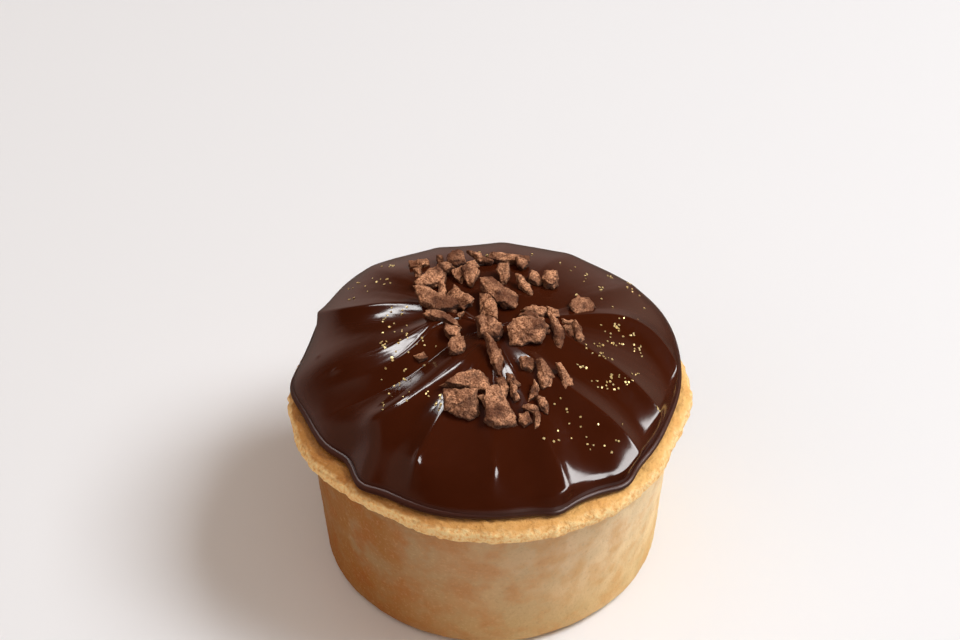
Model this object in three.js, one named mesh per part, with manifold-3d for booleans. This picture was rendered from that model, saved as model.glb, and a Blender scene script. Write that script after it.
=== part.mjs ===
// Chocolate tart: a deep pastry cup with a narrow, uneven rim, filled with chocolate. The glazed
// top is a low dome with folds that run from the middle to a scalloped edge, and broken chocolate
// flakes lie across it in a band.
// Millimetres, +Z up, the origin in the middle of the base, -Y the side with the flakes in front.
import * as THREE from 'three';
import { mergeVertices } from 'three/addons/utils/BufferGeometryUtils.js';
import Module from 'manifold-3d';

// ---- pastry cup ----
const RIM_RADIUS = 30;          // middle radius of the rim's uneven outer edge
const RIM_TOP = 30.2;           // height of the rim's flat top above the base
const RIM_THICKNESS = 2.5;
const RIM_ROUNDING = 0.7;
const WALL_TOP_RADIUS = 27.3;   // outside of the wall, just under the rim
const BASE_RADIUS = 25.5;       // outside of the wall, at the base corner
const BASE_CORNER = 2.2;
const WALL_THICKNESS = 3;
const CUP_COLUMNS = 72;

// ---- chocolate filling and dome ----
const GAP = 0.3;                // clearance between the pastry and the chocolate
const GLAZE_RADIUS = 28.1;      // middle radius of the glaze's scalloped outer edge
const BEAD_RADIUS = 0.65;       // rolled edge of the glaze, standing on the rim
const BEAD_OUT = 0.35;           // how far the bead stands out from the dome's foot
const DOME_FOOT = 1.15;          // height of the dome's foot above the underside of the bead
const DOME_RISE = 9.7;          // middle of the dome above its foot
const DOME_FLATNESS = 2.4;      // larger is flatter on top, 2 is an ellipse or a parabola
const DOME_POWER = 0.75;
const FOLDS_FROM = 0.3;        // share of the radius at which the folds reach their height
const FOLDS_IN_MIDDLE = 0.45;   // share of the height that they have before the shoulder
const STATIONS = [0.3, 0.6, 0.85, 1]; // shares of the radius at which crest angles are given
const DOME_ROWS = 14;
const BEAD_ROWS = 4;
const COLUMNS_PER_FOLD = 8;

// Each fold's crest: angles in degrees at the four stations from middle to edge, then in mm its
// height, the widths of its flanks towards smaller and larger angles and how soft its top is, and
// last the share of the radius over which it sinks at the edge. A crease has a height below zero.
const FOLDS = [
  [[10, 12, 4.5, -10], 2.1, 3.0, 3.2, 0.3, 0.06],
  [[20, 27, 34, 40], 0.9, 2.4, 2.4, 0.8, 0.15],
  [[58, 60, 61, 61], 0.7, 2.6, 2.6, 1.2, 0.15],
  [[84, 84, 85, 86], 0.6, 2.6, 2.6, 1.2, 0.15],
  [[110, 109, 108, 107], 0.6, 2.6, 2.6, 1.2, 0.15],
  [[134, 133, 132, 130], 0.7, 2.6, 2.6, 1.2, 0.15],
  [[150, 157.5, 159.3, 155], 1.6, 3.4, 2.6, 0.25, 0.04],
  [[179, 192.5, 187, 184], 2.9, 3.0, 8.0, 0.6, 0.8],
  [[189, 203, 196, 193], 2.9, 8.0, 2.6, 0.4, 0.8],
  [[212, 214, 207, 202], -0.5, 1.6, 1.6, 0.1, 0.5],
  [[240, 229.5, 221.5, 214.5], 2.2, 3.0, 2.2, 1.0, 0.2],
  [[258, 247.3, 245.2, 244.5], 1.8, 2.6, 2.2, 0.4, 0.15],
  [[272, 271, 270, 270], 0.8, 2.4, 2.2, 0.6, 0.15],
  [[290, 291, 292, 292.6], 1.2, 2.4, 2.4, 0.4, 0.05],
  [[311, 313.7, 317.2, 318], 2.2, 3.2, 4.2, 0.3, 0.03],
  [[354, 341, 336, 334], 2.3, 3.2, 4.2, 0.3, 0.06],
];

// Bulges and dents along the edge of the glaze: angle, depth in mm, half width in degrees.
const SCALLOPS = [
  [-176, 1.4, 9],
  [-141, -1.0, 6],
  [-130, 0.9, 5],
  [-107, 0.35, 12],
  [-71, 0.9, 5],
  [-49, 1.3, 6],
  [-20, -0.4, 12],
  [32, 1.5, 24],
  [75, 0.8, 25],
  [120, 0.4, 20],
  [134, 1.9, 20],
  [163, -0.2, 8],
];

// Where the rolled edge stands out more or less, written in the same way.
const LIP_WAVES = [
  [-136, 0.45, 30],
  [-84, -0.28, 26],
  [-40, 0.3, 25],
];

// Bulges and dents along the pastry rim, written in the same way.
const RIM_WAVES = [
  [-153, 0.4, 9],
  [-132, -0.7, 9],
  [-118, -0.7, 9],
  [-80, 0.4, 9],
  [-56, 0.25, 14],
  [-23, -1.0, 10],
  [20, -1.0, 16],
  [85, -0.9, 45],
  [160, -1.3, 18],
];

// ---- chocolate flakes ----
const FLAKE_RAISED = 0.25;      // mm by which all flakes stand higher than listed
const FLAKE_VIEW = 43;          // height in degrees of the direction in which the outlines are told
const FLAKE_SIDE_SHARE = 0.25;  // share of a flake's thickness that its sides take of the outline
const FLAKE_SIZE = 1.12;        // how much larger than its outline a flake is
// A flake's levels as a share of its thickness, with the share of its outline at each.
const FLAKE_LEVELS = [[-0.5, 0.78], [-0.22, 1], [0.2, 0.98], [0.44, 0.8]];

// Chocolate flakes: thickness, height of the middle above the dome, how far the face leans to the
// front and to the right in degrees, and the outline's corners, clockwise, as seen from the front.
const FLAKES = [
  [1.3, 0.6, 25, 5, [[-11.8, 17.3], [-9.4, 17.8], [-9.2, 15.8], [-10.2, 14.6], [-11.8, 15.2]]],
  [1.0, 0.5, 30, 0, [[-11.2, 15.0], [-10.2, 15.0], [-10.3, 12.2], [-11.0, 12.2]]],
  [0.9, 0.6, 30, 0, [[-7.7, 18.3], [-7.0, 18.5], [-6.9, 15.6], [-7.6, 15.4]]],
  [1.8, 1.4, 30, 10, [
    [-6.1, 16.9], [-4.8, 18.0], [-3.8, 17.7],
    [-3.7, 14.0], [-5.0, 13.0], [-6.0, 13.7],
  ]],
  [1.6, 1.0, 25, 5, [
    [-7.9, 14.2], [-6.2, 14.8], [-5.4, 13.6],
    [-6.0, 11.8], [-7.2, 11.4], [-8.0, 12.6],
  ]],
  [1.8, 1.0, 20, 10, [
    [-10.9, 9.8], [-8.7, 13.1], [-7.6, 13.2], [-6.6, 12.0],
    [-7.0, 9.4], [-8.2, 8.2], [-10.6, 8.0],
  ]],
  [1.0, 0.6, 10, -10, [[-7.3, 11.8], [-6.3, 11.8], [-6.5, 9.2], [-6.4, 6.4], [-7.3, 5.6], [-7.5, 9.0]]],
  [1.7, 1.2, 20, 5, [
    [-10.4, 8.0], [-8.5, 7.4], [-6.3, 5.3], [-4.8, 4.4],
    [-4.4, 2.8], [-5.4, 1.8], [-8.0, 2.4], [-9.8, 4.2],
  ]],
  [1.4, 0.8, 0, -30, [
    [-6.3, 7.0], [-4.8, 8.1], [-4.0, 6.4], [-2.5, 4.6],
    [-2.6, 3.4], [-3.9, 3.2], [-6.3, 5.6],
  ]],
  [1.2, 1.2, 25, 10, [
    [-3.4, 13.2], [-2.4, 13.4], [-1.6, 11.8], [-1.9, 10.1],
    [-2.6, 7.4], [-3.2, 8.4], [-4.0, 12.1],
  ]],
  [1.2, 0.6, 20, -25, [[-5.3, 13.0], [-3.8, 13.4], [-3.5, 11.6], [-4.2, 9.4], [-5.0, 10.6]]],
  [1.3, 1.0, 25, 10, [
    [-2.9, 17.6], [-1.2, 17.6], [-1.1, 16.2], [0.5, 15.2],
    [0.4, 14.1], [-1.3, 14.3], [-2.2, 16.0],
  ]],
  [1.0, 0.6, 30, -20, [[-3.7, 15.4], [-2.0, 15.6], [-1.6, 13.6], [-3.2, 13.3]]],
  [1.4, 0.9, 30, 0, [
    [0.3, 17.5], [2.2, 17.4], [5.8, 17.0], [5.7, 15.0],
    [4.4, 14.2], [1.2, 14.8], [0.3, 15.6],
  ]],
  [1.2, 0.8, 30, 10, [[4.0, 15.8], [5.9, 15.8], [5.8, 14.2], [5.0, 12.6], [4.3, 13.4]]],
  [1.2, 1.0, 35, -10, [[1.6, 14.2], [2.8, 13.8], [3.0, 10.9], [2.5, 8.2], [2.0, 8.2], [1.2, 12.0]]],
  [1.1, 0.7, 20, 20, [
    [3.9, 11.0], [4.7, 10.6], [5.9, 8.6], [6.4, 7.1],
    [5.8, 6.5], [4.9, 7.8], [4.1, 9.4],
  ]],
  [1.2, 0.7, 30, 10, [[6.3, 12.2], [6.9, 12.2], [7.7, 9.9], [7.1, 8.9], [5.9, 9.6]]],
  [1.6, 1.0, 30, 0, [
    [8.3, 12.2], [9.8, 12.6], [10.2, 10.8], [10.0, 9.0],
    [9.4, 7.9], [8.5, 8.0], [8.0, 10.0],
  ]],
  [0.8, 0.4, 20, 0, [[8.7, 13.7], [9.5, 13.7], [9.6, 12.8], [8.8, 12.5]]],
  [1.6, 1.3, 15, 15, [
    [-1.1, 8.0], [0.4, 8.6], [1.8, 7.4], [4.4, 5.3],
    [3.4, 3.1], [2.4, 2.6], [1.0, 3.8], [-0.9, 6.4],
  ]],
  [1.2, 1.0, 10, -40, [
    [-1.4, 5.8], [-0.2, 5.4], [0.6, 4.4], [1.2, 2.4],
    [1.1, 0.8], [-0.9, 1.2], [-1.6, 3.0],
  ]],
  [2.2, 1.2, 40, 0, [
    [-1.8, 0.6], [-0.8, 1.2], [0.6, 0.2], [1.7, -0.7],
    [2.0, -2.3], [1.2, -4.4], [-1.3, -3.8],
  ]],
  [1.2, 1.2, 10, 10, [
    [-9.4, 1.4], [-8.2, 2.2], [-6.9, 1.9], [-5.3, 0.8],
    [-4.3, -1.6], [-5.3, -1.2], [-6.4, 0.0], [-8.0, 0.3],
  ]],
  [1.6, 0.75, 20, 0, [[-6.4, 0.0], [-4.4, -1.2], [-4.4, -3.3], [-5.8, -3.4], [-6.4, -1.6]]],
  [1.5, 0.9, 25, 10, [
    [-6.0, -5.0], [-5.4, -3.2], [-4.0, -3.2], [-3.7, -4.8],
    [-4.0, -6.4], [-5.1, -6.7], [-5.9, -6.2],
  ]],
  [1.2, 0.6, 10, 10, [[-4.8, 1.6], [-3.6, 2.4], [-4.3, 0.8]]],
  [1.3, 0.95, 10, 25, [
    [-0.6, -3.8], [0.2, -4.4], [1.1, -6.0], [1.8, -7.6],
    [1.6, -10.2], [1.0, -10.0], [0.2, -8.0], [-0.3, -6.1],
  ]],
  [1.2, 1.0, 20, -5, [[4.7, 2.4], [6.3, 3.3], [7.9, 3.0], [8.2, 2.0], [7.7, 0.8], [5.8, 1.4]]],
  [1.8, 1.2, 15, 10, [[4.4, 0.4], [5.4, 2.0], [6.6, 1.2], [7.9, 0.2], [8.1, -1.2], [6.4, -0.4]]],
  [1.7, 1.5, 45, -5, [
    [2.9, -1.8], [3.8, -0.6], [5.4, 0.4], [7.4, -0.4], [8.0, -1.6],
    [7.4, -5.0], [5.6, -5.2], [4.2, -5.9], [3.2, -5.6],
  ]],
  [1.2, 1.0, 25, 10, [[8.3, 3.1], [9.8, 2.8], [10.0, 1.4], [9.1, 0.5], [8.4, 1.6]]],
  [1.3, 0.8, 20, 25, [[8.6, 0.8], [9.4, 0.5], [10.6, -2.0], [10.7, -3.6], [10.1, -4.8], [9.4, -3.8]]],
  [0.8, 0.5, 10, 0, [[7.8, -1.1], [8.6, -1.2], [8.7, -2.3], [7.9, -2.3]]],
  [0.8, 0.6, 10, 0, [[10.6, 1.3], [12.2, 1.4], [12.3, 0.6], [10.8, 0.4]]],
  [1.2, 1.0, 15, 25, [
    [12.0, 0.3], [12.9, -0.4], [13.6, -2.2],
    [13.4, -3.2], [12.6, -3.0], [12.1, -1.5],
  ]],
  [1.0, 0.5, 10, -25, [[10.6, 0.4], [12.2, 0.3], [12.4, -2.6], [11.2, -2.2]]],
  [1.1, 0.8, 15, 5, [
    [11.9, 5.5], [12.9, 6.8], [14.4, 6.6], [15.5, 5.4],
    [14.9, 4.1], [12.8, 2.8], [12.0, 3.4],
  ]],
  [1.4, 1.1, 10, 10, [
    [-6.7, -12.3], [-5.0, -11.0], [-2.7, -9.6], [-1.6, -9.8],
    [-0.7, -10.8], [-0.6, -13.2], [-3.8, -13.2],
  ]],
  [1.9, 1.4, 45, 0, [
    [-6.3, -13.2], [-4.6, -13.0], [-2.2, -13.4], [-2.1, -17.6],
    [-3.2, -18.5], [-5.2, -16.8], [-6.7, -16.2],
  ]],
  [1.6, 1.2, 20, 15, [
    [-0.6, -13.6], [0.4, -12.4], [1.1, -12.7], [1.7, -14.2],
    [3.0, -16.6], [4.0, -19.2], [1.2, -19.5], [-0.6, -18.0],
  ]],
  [1.0, 0.4, 10, 0, [[-1.9, -13.6], [-1.0, -13.3], [-0.5, -14.5], [-0.8, -15.6]]],
  [1.4, 0.8, 20, -30, [[1.0, -11.0], [1.8, -11.0], [2.5, -12.6], [2.2, -14.0], [1.4, -13.8]]],
  [1.0, 0.7, 10, 20, [[2.4, -10.3], [3.1, -10.4], [4.2, -11.9], [3.6, -12.3], [2.6, -11.4]]],
  [0.9, 0.8, 20, 20, [[2.9, -11.8], [3.6, -12.2], [4.2, -14.4], [3.5, -14.7], [2.9, -13.7]]],
  [1.2, 0.7, 10, 10, [[4.2, -7.2], [5.1, -6.9], [6.2, -7.4], [6.4, -8.7], [5.8, -9.6], [4.7, -9.0]]],
  [1.2, 0.9, 15, 20, [
    [6.6, -8.0], [7.4, -7.7], [8.4, -8.6], [9.1, -10.4],
    [8.6, -11.8], [7.5, -12.5], [7.0, -10.4],
  ]],
  [1.1, 0.8, 15, 20, [
    [9.0, -8.2], [9.8, -8.3], [11.4, -10.2], [12.0, -11.7],
    [11.3, -13.2], [10.6, -12.8], [10.0, -10.8],
  ]],
  [0.9, 0.8, 20, 25, [
    [5.6, -13.2], [6.2, -11.3], [6.8, -11.7],
    [6.9, -12.8], [6.2, -14.0], [5.5, -14.3],
  ]],
  [1.1, 0.6, 10, 15, [[6.6, -13.8], [7.5, -13.9], [8.2, -15.1], [8.0, -16.2], [7.0, -16.0]]],
  [1.0, 0.9, 20, 0, [[4.5, -15.6], [5.4, -14.9], [6.4, -15.5], [6.9, -16.8], [6.0, -16.8]]],
  [0.9, 0.8, 20, 20, [[6.0, -16.2], [6.9, -16.4], [6.9, -18.2], [6.1, -18.8]]],
  [1.2, 0.5, 20, -20, [[4.0, -16.2], [5.2, -16.0], [5.7, -17.6], [4.8, -18.4], [4.0, -17.6]]],
  [0.8, 0.2, 10, 0, [[-10.9, -5.4], [-9.6, -5.0], [-9.0, -6.0], [-10.2, -6.6]]],
];

const PASTRY = { color: 0xc99a62, roughness: 0.85, metalness: 0 };
const CHOCOLATE = { color: 0x2e160e, roughness: 0.15, metalness: 0 };

const radians = THREE.MathUtils.degToRad;
const { lerp, clamp, smoothstep } = THREE.MathUtils;

function wrapped(degrees) {
  return THREE.MathUtils.euclideanModulo(degrees + 180, 360) - 180;
}

function waves(list, degrees) {
  let sum = 0;
  for (const [centre, depth, width] of list) {
    sum += depth * Math.exp(-((wrapped(degrees - centre) / width) ** 2));
  }
  return sum;
}

// A repeatable number from -1 to 1 for a pair of whole numbers.
function scatter(a, b) {
  const value = Math.sin(a * 12.9898 + b * 78.233) * 43758.5453;
  return 2 * (value - Math.floor(value)) - 1;
}

function polar(radius, degrees, z) {
  const angle = radians(degrees);
  return [radius * Math.cos(angle), radius * Math.sin(angle), z];
}

// A closed body from rings of points that run from one point on the axis to another.
function bodyOfRings(start, rings, end) {
  const columns = rings[0].length;
  const points = [start, ...rings.flat(), end];
  const last = points.length - 1;
  const index = [];
  for (let c = 0; c < columns; c += 1) {
    const next = (c + 1) % columns;
    index.push(0, 1 + next, 1 + c);
    for (let r = 0; r + 1 < rings.length; r += 1) {
      const here = 1 + r * columns;
      const there = here + columns;
      index.push(here + c, here + next, there + c);
      index.push(here + next, there + next, there + c);
    }
    const rim = 1 + (rings.length - 1) * columns;
    index.push(rim + c, rim + next, last);
  }
  const geometry = new THREE.BufferGeometry();
  geometry.setAttribute('position', new THREE.Float32BufferAttribute(points.flat(), 3));
  geometry.setIndex(index);
  return geometry;
}

// ---- pastry cup ----

function cupWallRadius(z) {
  return lerp(BASE_RADIUS, WALL_TOP_RADIUS, (z - BASE_CORNER) / (RIM_TOP - RIM_THICKNESS - BASE_CORNER));
}

// The cup's section from the middle of the base round the rim to the middle of its floor,
// as [radius, height, share of the rim's waves that the point follows].
function cupProfile() {
  const profile = [];
  for (const turn of [0, 30, 60, 90]) {
    profile.push([
      BASE_RADIUS - BASE_CORNER * (1 - Math.sin(radians(turn))),
      BASE_CORNER * (1 - Math.cos(radians(turn))),
      0,
    ]);
  }
  const under = RIM_TOP - RIM_THICKNESS;
  profile.push([cupWallRadius(under / 2), under / 2, 0]);
  profile.push([cupWallRadius(under - RIM_ROUNDING), under - RIM_ROUNDING, 0]);
  profile.push([WALL_TOP_RADIUS + RIM_ROUNDING, under, 0.3]);
  profile.push([RIM_RADIUS - RIM_ROUNDING, under, 1]);
  profile.push([RIM_RADIUS, under + RIM_ROUNDING, 1]);
  profile.push([RIM_RADIUS, RIM_TOP - RIM_ROUNDING, 1]);
  profile.push([RIM_RADIUS - RIM_ROUNDING, RIM_TOP, 1]);
  profile.push([cupWallRadius(under) - WALL_THICKNESS + RIM_ROUNDING, RIM_TOP, 0]);
  profile.push([cupWallRadius(under) - WALL_THICKNESS, RIM_TOP - RIM_ROUNDING, 0]);
  profile.push([cupWallRadius(WALL_THICKNESS) - WALL_THICKNESS, 2 * WALL_THICKNESS, 0]);
  profile.push([cupWallRadius(WALL_THICKNESS) - 2 * WALL_THICKNESS, WALL_THICKNESS, 0]);
  return profile;
}

function pastryCup() {
  const rings = cupProfile().map(([radius, z, share]) => {
    const ring = [];
    for (let c = 0; c < CUP_COLUMNS; c += 1) {
      const degrees = (360 * c) / CUP_COLUMNS;
      ring.push(polar(radius + share * waves(RIM_WAVES, degrees), degrees, z));
    }
    return ring;
  });
  return bodyOfRings([0, 0, 0], rings, [0, 0, WALL_THICKNESS]);
}

// ---- chocolate filling with its folded dome ----

// The crest's angle at a share of the radius, on the smooth curve through its stations.
function foldAngle(fold, share) {
  const angles = FOLDS[fold % FOLDS.length][0];
  const at = Math.max(share, STATIONS[0] / 2);
  let total = fold >= FOLDS.length ? 360 : 0;
  STATIONS.forEach((own, i) => {
    let weight = 1;
    for (const other of STATIONS) {
      weight *= other === own ? 1 : (at - other) / (own - other);
    }
    total += weight * angles[i];
  });
  return total;
}

function beadOut(degrees) {
  return BEAD_OUT + waves(LIP_WAVES, degrees);
}

function domeBase(share) {
  const fullness = Math.max(1 - Math.abs(share) ** DOME_FLATNESS, 0) ** DOME_POWER;
  return RIM_TOP + GAP + DOME_FOOT + DOME_RISE * fullness;
}

// Height share of a fold at a distance from its crest; nothing is left at the next crest.
function flank(distance, gap, width, softness) {
  const fall = (d) => Math.exp(-(Math.hypot(d, softness) - softness) / width);
  return Math.max(fall(distance) - fall(gap), 0) / (1 - fall(gap));
}

// A point of the dome: share of the way from the middle to the edge, fold before it, and
// fraction of the way to the next fold.
function domePoint(share, fold, fraction) {
  const before = foldAngle(fold, share);
  const after = foldAngle(fold + 1, share);
  const degrees = lerp(before, after, fraction);
  const edge = GLAZE_RADIUS - beadOut(degrees) + waves(SCALLOPS, degrees);
  const arm = radians(Math.max(edge * share, 1));
  const [, fullBefore, , widthBefore, softBefore, sinkBefore] = FOLDS[fold];
  const [, fullAfter, widthAfter, , softAfter, sinkAfter] = FOLDS[(fold + 1) % FOLDS.length];
  const heightBefore = fullBefore * smoothstep(1 - share, 0, sinkBefore);
  const heightAfter = fullAfter * smoothstep(1 - share, 0, sinkAfter);
  const gap = (after - before) * arm;
  const toBefore = heightBefore * flank((degrees - before) * arm, gap, widthBefore, softBefore);
  const toAfter = heightAfter * flank((after - degrees) * arm, gap, widthAfter, softAfter);
  const grown = Math.min(share / FOLDS_FROM, 1) * lerp(FOLDS_IN_MIDDLE, 1, smoothstep(share, 0.4, 0.88));
  const height = (toBefore + toAfter) * grown;
  const step = 0.001;
  const slope = (domeBase(Math.max(share - step, 0)) - domeBase(share)) / (step * edge);
  const lean = Math.min(slope, 1.5);
  const radius = edge * share + (0.8 * height * lean) / Math.hypot(1, lean);
  return polar(radius, degrees, domeBase(share) + height / Math.hypot(1, lean));
}

function domeRing(share) {
  const ring = [];
  for (let fold = 0; fold < FOLDS.length; fold += 1) {
    for (let c = 0; c < COLUMNS_PER_FOLD; c += 1) {
      const even = c / COLUMNS_PER_FOLD;
      const fraction = even - 0.08 * Math.sin(2 * Math.PI * even);
      ring.push(domePoint(share, fold, fraction));
    }
  }
  return ring;
}

function chocolateBody() {
  const rings = [];
  for (let row = 1; row <= DOME_ROWS; row += 1) {
    rings.push(domeRing(Math.sin((row / DOME_ROWS) * (Math.PI / 2))));
  }
  const edge = rings.at(-1).map(([x, y]) => [Math.hypot(x, y), THREE.MathUtils.radToDeg(Math.atan2(y, x))]);
  const under = RIM_TOP + GAP;
  for (let row = 0; row <= BEAD_ROWS; row += 1) {
    rings.push(edge.map(([radius, degrees]) => {
      const out = beadOut(degrees);
      const start = Math.acos(clamp(1 - out / BEAD_RADIUS, -0.1, 1));
      const turn = lerp(start, -Math.PI / 2, row / BEAD_ROWS);
      const z = under + BEAD_RADIUS * (1 + Math.sin(turn));
      return polar(radius + out - BEAD_RADIUS * (1 - Math.cos(turn)), degrees, z);
    }));
  }
  const plugTop = cupWallRadius(RIM_TOP - RIM_THICKNESS) - WALL_THICKNESS - GAP;
  const plugFoot = cupWallRadius(WALL_THICKNESS) - 2 * WALL_THICKNESS - GAP;
  const floor = WALL_THICKNESS + GAP;
  rings.push(edge.map(([, degrees]) => polar(plugTop, degrees, under)));
  rings.push(edge.map(([, degrees]) => polar(plugFoot + WALL_THICKNESS, degrees, floor + WALL_THICKNESS)));
  rings.push(edge.map(([, degrees]) => polar(plugFoot, degrees, floor)));
  return bodyOfRings([0, 0, floor], rings.reverse(), [0, 0, domeBase(0)]);
}

// ---- chocolate flakes ----

function middleOf(corners) {
  const sum = (axis) => corners.reduce((total, corner) => total + corner[axis], 0);
  return [sum(0) / corners.length, sum(1) / corners.length];
}

// One broken flake, lying in its own XY plane around the origin. Depth is how much shorter it is
// from front to back than it looks.
function flakeGeometry(thickness, corners, depth, seed) {
  const [x, y] = middleOf(corners);
  const ys = corners.map((corner) => corner[1]);
  const reach = Math.max(...ys) - Math.min(...ys);
  const sides = Math.max(1 - (FLAKE_SIDE_SHARE * thickness) / reach, 0.45);
  const flat = corners.map((corner) => [
    (corner[0] - x) * FLAKE_SIZE,
    (corner[1] - y) * FLAKE_SIZE * depth * sides,
  ]);
  const rings = FLAKE_LEVELS.map(([level, size], row) => flat.map(([px, py], c) => {
    const spread = size * (1 + 0.1 * scatter(seed + 3, c + 9 * row));
    return [px * spread, py * spread, thickness * (level + 0.16 * scatter(seed + 5, c + 5 * row))];
  }));
  const low = [0, 0, -0.55 * thickness];
  const high = [0.12 * flat[0][0], 0.12 * flat[0][1], 0.56 * thickness];
  return bodyOfRings(low, rings.map((ring) => ring.reverse()), high);
}

function placedFlake([thickness, lift, toFront, toRight, corners], seed) {
  const [x, y] = middleOf(corners);
  const share = Math.hypot(x, y) / GLAZE_RADIUS;
  const step = 0.01;
  const slope = (domeBase(share - step) - domeBase(share + step)) / (2 * step * GLAZE_RADIUS);
  const outward = Math.atan2(y, x);
  const up = new THREE.Vector3(0, 0, 1);
  const normal = new THREE.Vector3(slope * Math.cos(outward), slope * Math.sin(outward), 1).normalize();
  const turned = new THREE.Quaternion().setFromUnitVectors(up, normal);
  turned.multiply(new THREE.Quaternion().setFromAxisAngle(new THREE.Vector3(1, 0, 0), radians(toFront)));
  turned.multiply(new THREE.Quaternion().setFromAxisAngle(new THREE.Vector3(0, 1, 0), radians(toRight)));
  const view = new THREE.Vector3(0, -Math.cos(radians(FLAKE_VIEW)), Math.sin(radians(FLAKE_VIEW)));
  const depth = normal.dot(view) / up.clone().applyQuaternion(turned).dot(view);
  const geometry = flakeGeometry(thickness, corners, depth, seed);
  geometry.applyQuaternion(turned);
  return geometry.translate(x, y, domeBase(share) + FLAKE_RAISED + lift);
}

// ---- joining ----

const wasm = await Module();
wasm.setup();

function solidOf(geometry) {
  const plain = geometry.clone();
  plain.deleteAttribute('normal');
  plain.deleteAttribute('uv');
  const merged = mergeVertices(plain, 1e-5);
  return new wasm.Manifold(new wasm.Mesh({
    numProp: 3,
    vertProperties: new Float32Array(merged.attributes.position.array),
    triVerts: new Uint32Array(merged.index.array),
  }));
}

function geometryOf(solid) {
  const mesh = solid.getMesh();
  const geometry = new THREE.BufferGeometry();
  geometry.setAttribute('position', new THREE.BufferAttribute(mesh.vertProperties, 3));
  geometry.setIndex(new THREE.BufferAttribute(mesh.triVerts, 1));
  geometry.computeVertexNormals();
  return geometry;
}

function chocolateWithFlakes() {
  let body = solidOf(chocolateBody());
  FLAKES.forEach((flake, i) => {
    body = body.add(solidOf(placedFlake(flake, i)));
  });
  return geometryOf(body);
}

function namedMesh(name, geometry, finish) {
  const mesh = new THREE.Mesh(geometry, new THREE.MeshStandardMaterial(finish));
  mesh.name = name;
  return mesh;
}

const tart = new THREE.Group();
tart.add(namedMesh('pastry_shell', pastryCup(), PASTRY));
tart.add(namedMesh('chocolate_filling', chocolateWithFlakes(), CHOCOLATE));

export default tart;
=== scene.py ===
import math

import bpy
import numpy as np
from mathutils import Matrix, Vector


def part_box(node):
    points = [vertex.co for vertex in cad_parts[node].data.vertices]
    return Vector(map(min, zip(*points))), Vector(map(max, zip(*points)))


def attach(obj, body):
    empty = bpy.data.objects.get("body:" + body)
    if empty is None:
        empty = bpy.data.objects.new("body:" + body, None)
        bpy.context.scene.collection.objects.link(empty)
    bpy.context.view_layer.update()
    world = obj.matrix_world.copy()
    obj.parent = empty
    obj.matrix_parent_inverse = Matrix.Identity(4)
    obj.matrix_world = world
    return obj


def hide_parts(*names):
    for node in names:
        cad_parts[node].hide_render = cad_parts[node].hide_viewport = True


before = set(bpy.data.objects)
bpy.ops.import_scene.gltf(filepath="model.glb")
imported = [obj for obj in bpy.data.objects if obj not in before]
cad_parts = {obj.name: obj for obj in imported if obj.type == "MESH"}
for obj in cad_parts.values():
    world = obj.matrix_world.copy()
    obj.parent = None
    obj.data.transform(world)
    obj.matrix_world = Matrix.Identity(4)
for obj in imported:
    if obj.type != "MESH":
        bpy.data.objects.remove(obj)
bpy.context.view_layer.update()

# Looks of the chocolate tart: baked cup, folded glaze, broken flakes and gold specks. Lengths are in
# millimetres, unless a comment says otherwise, and the meshes and nodes turn them into metres.
MM = 0.001

# ---- sizes of the solids ----
RIM_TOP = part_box("pastry_shell")[1].z / MM
RIM_RADIUS = 30.0
RIM_THICKNESS = 2.5
RIM_ROUNDING = 0.7                # of the rim's lower corner
RIM_SHOULDER = 1.4                # rounding of the rim's upper corner
WALL_TOP_RADIUS = 27.3
BASE_RADIUS = 25.5
BASE_CORNER = 2.2
WALL_THICKNESS = 3.0
UNDER_RIM = RIM_TOP - RIM_THICKNESS
RIM_FILLET = 0.9                  # rounding of the inner corner under the rim
INNER_DROP = 0.7                  # rounding of the rim's inner edge
SHELL_COLUMNS = 600

GAP = 0.3                         # between pastry and glaze
GLAZE_RADIUS = 28.1
BEAD_RADIUS = 0.65                # of the lip's round edge
BEAD_OUT = 0.35                   # how far the lip stands out from the dome's foot
DOME_FOOT = 1.15                  # height of the dome's foot above the rim
DOME_RISE = 9.7
DOME_FLATNESS = 2.4               # the two exponents of the dome's arched section
DOME_POWER = 0.75
DOME_COLUMNS = 40                 # per fold
DOME_ROWS = 100
STATIONS = (0.3, 0.6, 0.85, 1.0)  # shares of the radius at which the crests' angles are told
STRAIGHT_WITHIN = 0.15            # share of the radius within which a crest keeps its angle
FOLDS_FROM = 0.3                  # share of the radius over which the folds rise from the middle
FOLDS_IN_MIDDLE = 0.45            # their height inside, as a share of that outside
FOLDS_GROW = (0.4, 0.88)          # shares of the radius between which the rest is added
CREST_LEAN = 0.8                  # how much of a crest's height follows the dome's slope outwards
STEEPEST = 1.5                    # slope above which the crests lean no further

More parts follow.
